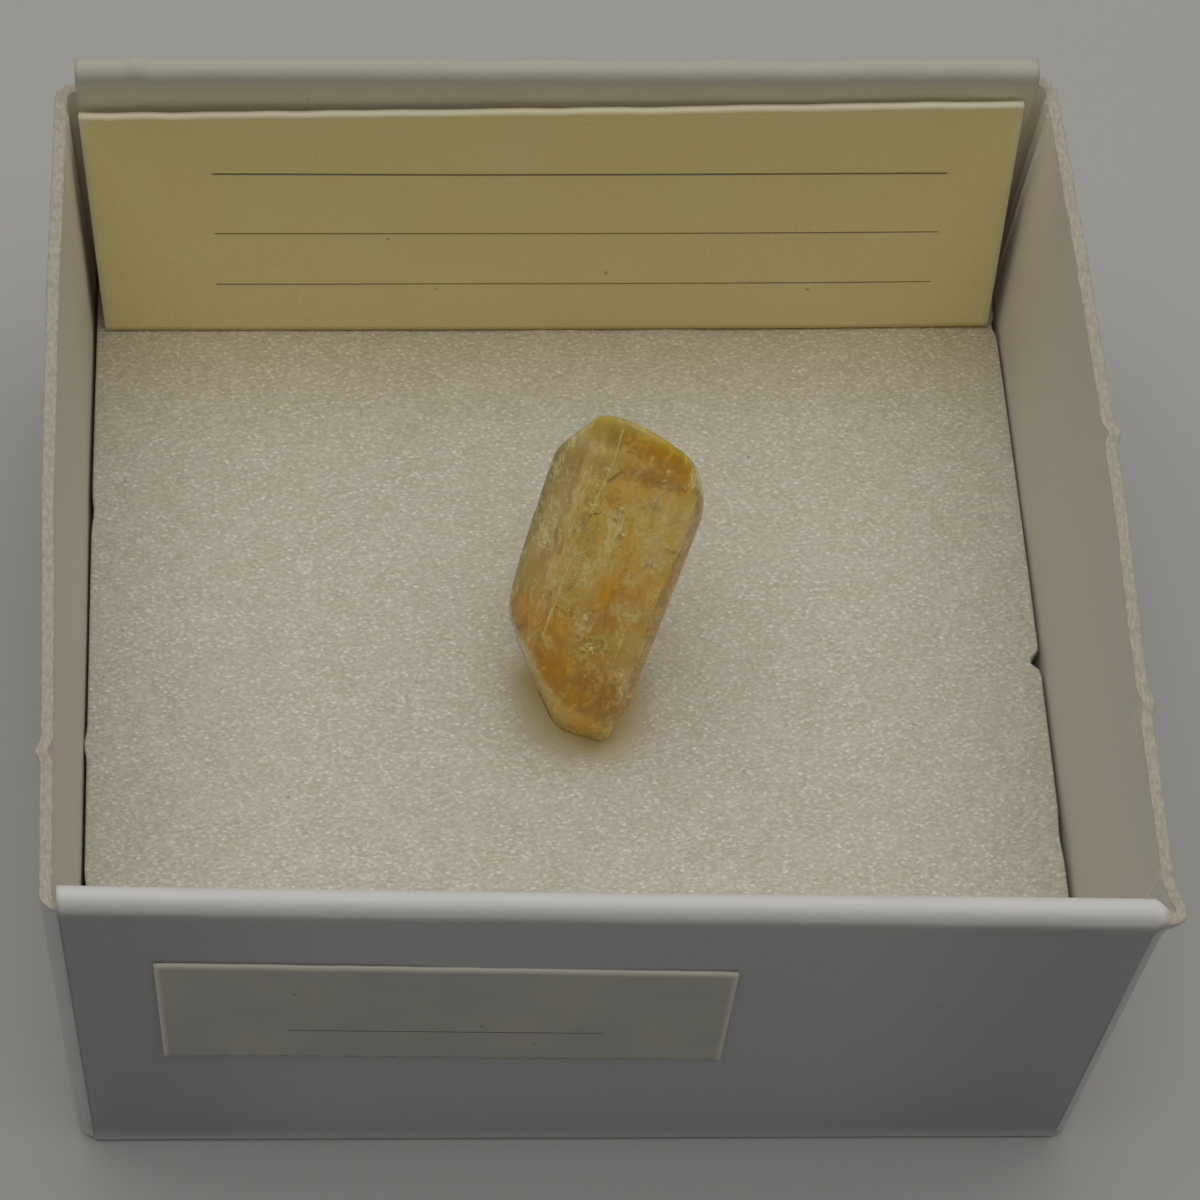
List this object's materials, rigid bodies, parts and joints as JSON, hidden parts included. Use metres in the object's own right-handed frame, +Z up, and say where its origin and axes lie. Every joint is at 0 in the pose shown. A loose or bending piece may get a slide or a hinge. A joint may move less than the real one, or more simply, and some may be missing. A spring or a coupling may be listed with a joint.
{
  "type": "topaz crystal specimen in a card box",
  "caption": "Striated orange topaz crystal standing at a lean in a white foam pad, inside an open folded card specimen box with a blank card label and a blank paper slip.",
  "frame": {"origin": "centre of the underside of the box's base, as first folded", "axes": "+Z up, +X to the right and -Y to the front, where the paper slip is, so +Y points to the wall that the card label leans on"},
  "size_m": [0.0417, 0.0397, 0.0204],
  "materials": {
    "white_card": "white clay-coated folding card, matt, tan fibre on the cut edges",
    "white_foam": "closed-cell white packing foam, fine glinting cells",
    "topaz": "natural vitreous crystal faces, striated along the axis, etched and lightly worn",
    "cream_card": "smooth cream card, blank, cut by hand",
    "white_paper": "matt off-white paper, blank, glued on"
  },
  "bodies": {
    "root": {"card_tray": "white_card", "foam_pad": "white_foam", "topaz_crystal": "topaz", "specimen_label": "cream_card", "number_label": "white_paper"}
  },
  "joints": []
}
